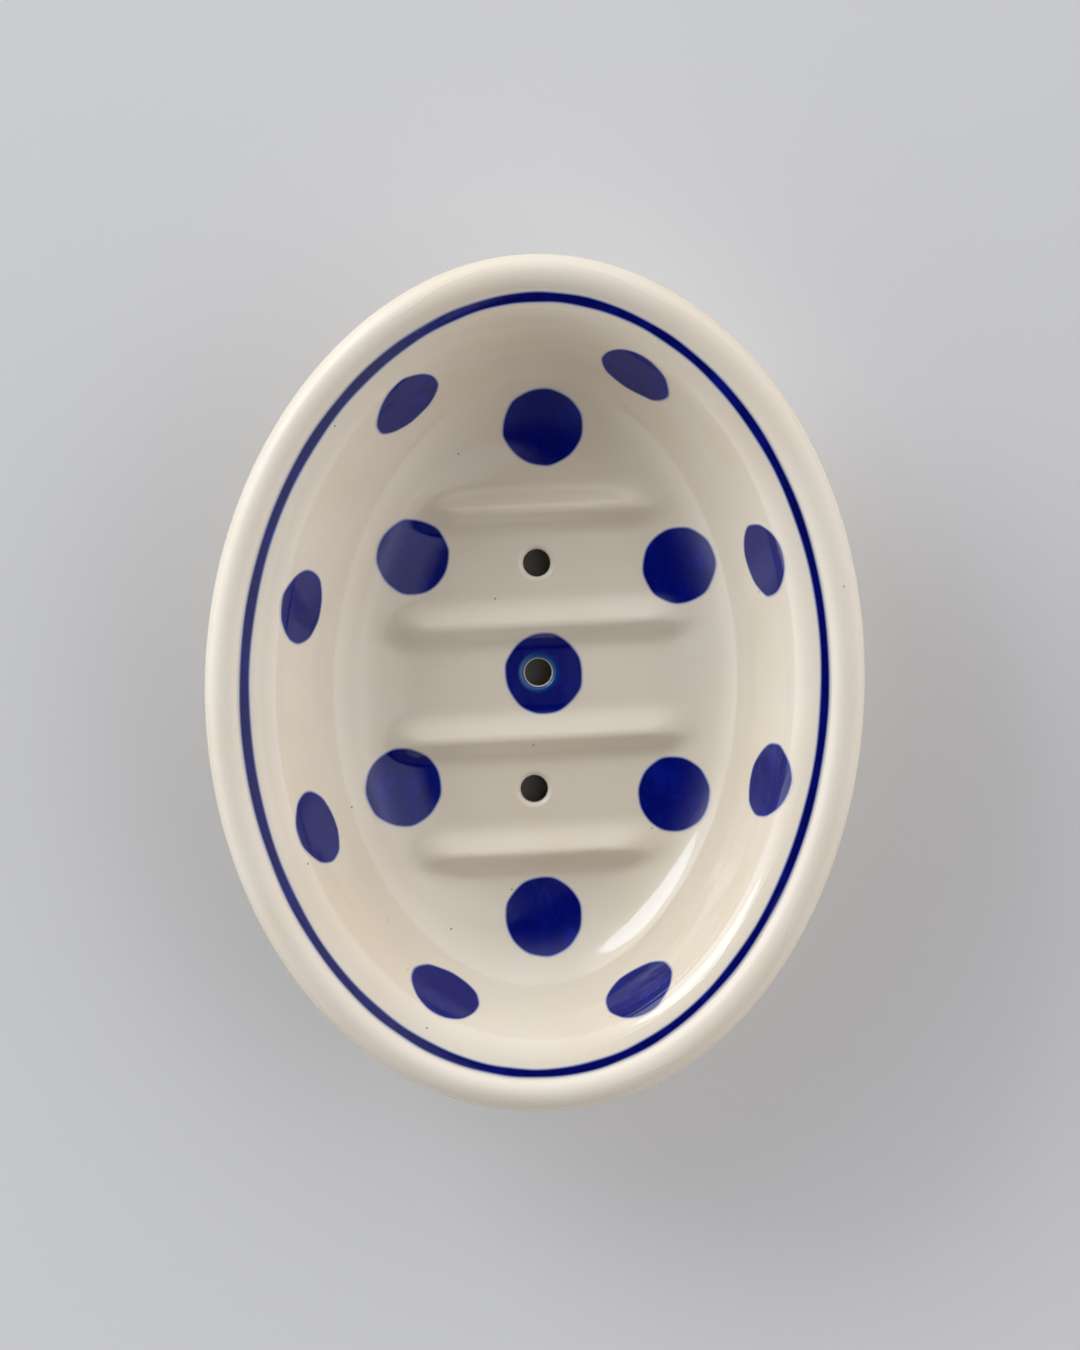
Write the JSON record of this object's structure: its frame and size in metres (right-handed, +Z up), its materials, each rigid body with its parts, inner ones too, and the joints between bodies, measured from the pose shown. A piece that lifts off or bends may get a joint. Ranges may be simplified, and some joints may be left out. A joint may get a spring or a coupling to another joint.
{
  "type": "soap dish",
  "caption": "Oval glazed stoneware soap dish with a rolled rim, ribbed and drained floor, foot ring and blue dot decoration.",
  "frame": {"origin": "centre of the plane that the foot ring stands on, under the middle of the dish", "axes": "+Y along the length of the oval, +X across it, +Z up out of the bowl"},
  "size_m": [0.108, 0.14, 0.031],
  "materials": {
    "cream_glaze": "gloss",
    "blue_line": "gloss",
    "blue_dot": "gloss"
  },
  "bodies": {
    "root": {"dish_body": "cream_glaze", "rim_line": "blue_line", "wall_dots": "blue_dot", "floor_dots": "blue_dot", "drain_dot": "blue_dot"}
  },
  "joints": []
}
